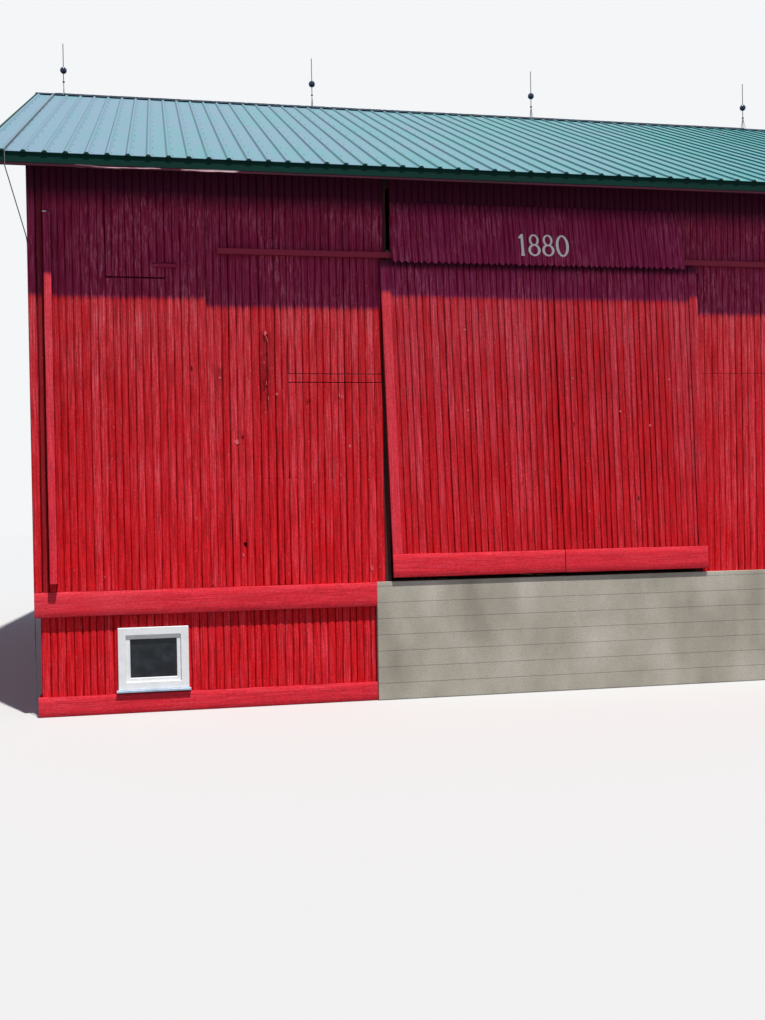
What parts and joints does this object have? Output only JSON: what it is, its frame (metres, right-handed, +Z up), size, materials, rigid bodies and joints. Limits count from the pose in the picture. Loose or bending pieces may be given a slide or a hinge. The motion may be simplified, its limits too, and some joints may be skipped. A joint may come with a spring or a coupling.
{
  "type": "red bank barn",
  "caption": "Red board-clad barn with a green ribbed metal gable roof, sliding front doors under a hood, and a low basement window.",
  "frame": {"origin": "ground level, in the middle of the plan", "axes": "+X to the right along the front wall as seen from in front, +Y into the barn, +Z up"},
  "size_m": [13.566, 13.612, 10.3641],
  "materials": {
    "red_boards": "weathered red paint on sawn boards",
    "red_trim": "red paint",
    "dark_soffit": "dark red paint",
    "old_timber": "bare old timber",
    "plank_floor": "bare planks",
    "masonry": "rough concrete over stone",
    "green_metal": "semi-gloss green paint",
    "red_track": "red paint",
    "steel": "dull steel",
    "rod_metal": "weathered",
    "blue_glass": "dark blue glass",
    "white_frame": "white",
    "grey_sill": "painted grey-blue",
    "window_pane": "clear"
  },
  "bodies": {
    "barn": {"back_rafters": "old_timber", "back_roof_deck": "old_timber", "back_roof_sheet": "green_metal", "back_wall": "red_boards", "basement_back_wall": "red_boards", "basement_front_wall": "red_boards", "basement_side_walls": "red_boards", "boxed_conduit": "red_trim", "cable_clips": "steel", "corner_boards": "red_trim", "door_track": "red_track", "eave_soffits": "dark_soffit", "eave_trims": "green_metal", "fascia_boards": "red_trim", "floor_frame": "old_timber", "foundation_wall": "masonry", "front_and_back_base_boards": "red_trim", "front_and_back_skirt_boards": "red_trim", "front_rafters": "old_timber", "front_roof_deck": "old_timber", "front_roof_sheet": "green_metal", "front_wall_head": "red_boards", "front_wall_left": "red_boards", "front_wall_right": "red_boards", "gable_walls": "red_boards", "hatch": "red_boards", "hood_brackets": "dark_soffit", "hood_panel": "red_boards", "inner_posts": "old_timber", "lightning_cable": "rod_metal", "lightning_rods": "rod_metal", "main_floor": "plank_floor", "plates_and_purlins": "old_timber", "rake_boards": "red_trim", "rake_soffits": "dark_soffit", "rake_trims": "green_metal", "ridge_cap": "green_metal", "rod_balls": "blue_glass", "side_base_boards": "red_trim", "side_skirt_boards": "red_trim", "tie_beams": "old_timber", "wall_girts": "old_timber", "wall_posts": "old_timber", "window_frame": "white_frame", "window_glass": "window_pane", "window_sash": "white_frame", "window_sill": "grey_sill"},
    "left_door": {"left_door_foot_board": "red_trim", "left_door_hangers": "steel", "left_door_panel": "red_boards", "left_door_stile": "red_trim"},
    "right_door": {"right_door_foot_board": "red_trim", "right_door_hangers": "steel", "right_door_panel": "red_boards", "right_door_stile": "red_trim"}
  },
  "joints": [
    {"name": "left_door_slide", "type": "slide", "parent": "barn", "child": "left_door", "axis": [-1, 0, 0], "range_m": [0, 1.96]},
    {"name": "right_door_slide", "type": "slide", "parent": "barn", "child": "right_door", "axis": [1, 0, 0], "range_m": [0, 1.96]}
  ]
}
